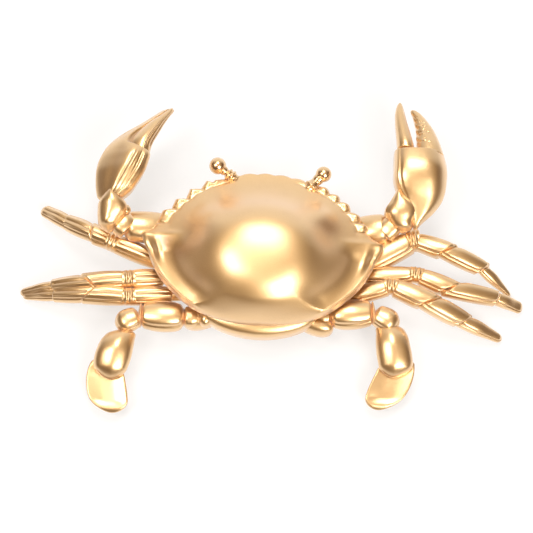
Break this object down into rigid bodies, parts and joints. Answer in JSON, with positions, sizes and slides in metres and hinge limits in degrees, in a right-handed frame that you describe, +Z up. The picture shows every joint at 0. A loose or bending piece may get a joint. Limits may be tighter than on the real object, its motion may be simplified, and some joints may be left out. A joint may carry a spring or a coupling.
{
  "type": "crab figurine",
  "caption": "Free-standing crab ornament in satin gold: domed toothed back shell on a belly casting, claws, walking legs, paddle legs and stalked eyes, on a felt pad.",
  "frame": {"origin": "middle of the felt pad's underside, on the surface that the ornament rests on", "axes": "+X to the crab's right, +Y to the crab's front, +Z up"},
  "size_m": [0.2412, 0.1577, 0.046],
  "materials": {
    "gold_shell": "satin gold lacquer on cast resin",
    "gold_underbody": "satin gold lacquer on cast resin",
    "gold_claws": "satin gold lacquer on cast resin",
    "gold_legs": "satin gold lacquer on cast resin",
    "gold_eyes": "satin gold lacquer on cast resin",
    "dowel_steel": "plain ground steel pin, hidden in its bores",
    "felt": "brown wool felt"
  },
  "bodies": {
    "root": {"base_felt": "felt", "carapace": "gold_shell", "claw_dowels": "dowel_steel", "finger_dowels": "dowel_steel", "left_claw_arm": "gold_claws", "left_claw_finger": "gold_claws", "left_claw_hand": "gold_claws", "left_eye": "gold_eyes", "left_front_leg": "gold_legs", "left_middle_leg": "gold_legs", "left_rear_leg": "gold_legs", "left_swimming_leg": "gold_legs", "leg_dowels": "dowel_steel", "right_claw_arm": "gold_claws", "right_claw_finger": "gold_claws", "right_claw_hand": "gold_claws", "right_eye": "gold_eyes", "right_front_leg": "gold_legs", "right_middle_leg": "gold_legs", "right_rear_leg": "gold_legs", "right_swimming_leg": "gold_legs", "underbody": "gold_underbody", "wrist_dowels": "dowel_steel"}
  },
  "joints": []
}
